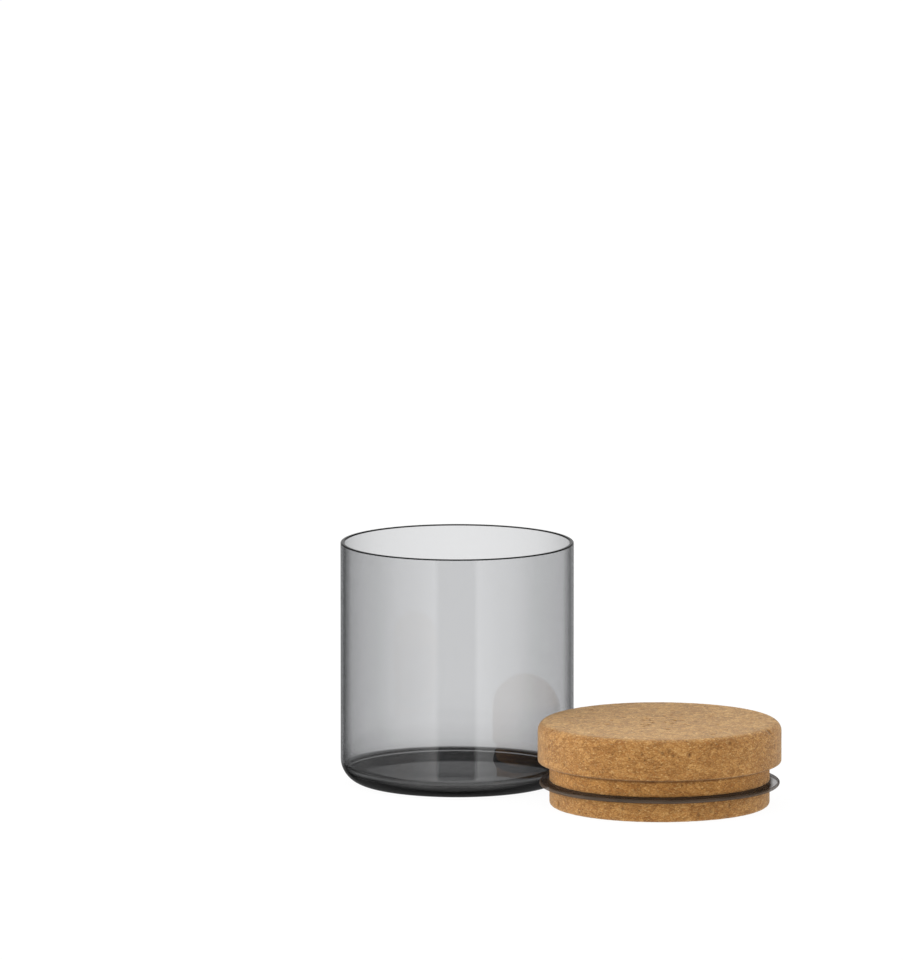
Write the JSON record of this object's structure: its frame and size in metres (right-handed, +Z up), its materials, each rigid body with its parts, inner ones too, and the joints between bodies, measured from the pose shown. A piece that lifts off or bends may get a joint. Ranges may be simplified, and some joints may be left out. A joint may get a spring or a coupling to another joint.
{
  "type": "storage jar",
  "caption": "Straight-walled smoked glass storage jar with a turned cork lid, whose plug carries a silicone sealing ring; the lid stands beside the jar and lifts.",
  "frame": {"origin": "centre of the jar's foot, on the surface that the jar and the lid stand on", "axes": "+Z up along the jar's axis, -Y the front; the lid stands at the front right, at +X and -Y"},
  "size_m": [0.1882, 0.1596, 0.1042],
  "materials": {
    "smoked_glass": "polished",
    "pressed_cork": "matte",
    "silicone": "satin"
  },
  "bodies": {
    "jar": {"glass_jar": "smoked_glass"},
    "lid": {"cork_lid": "pressed_cork", "sealing_ring": "silicone"}
  },
  "joints": [
    {"name": "lid_lift", "type": "slide", "parent": "jar", "child": "lid", "axis": [0, 0, 1], "range_m": [0, 0.13]}
  ]
}
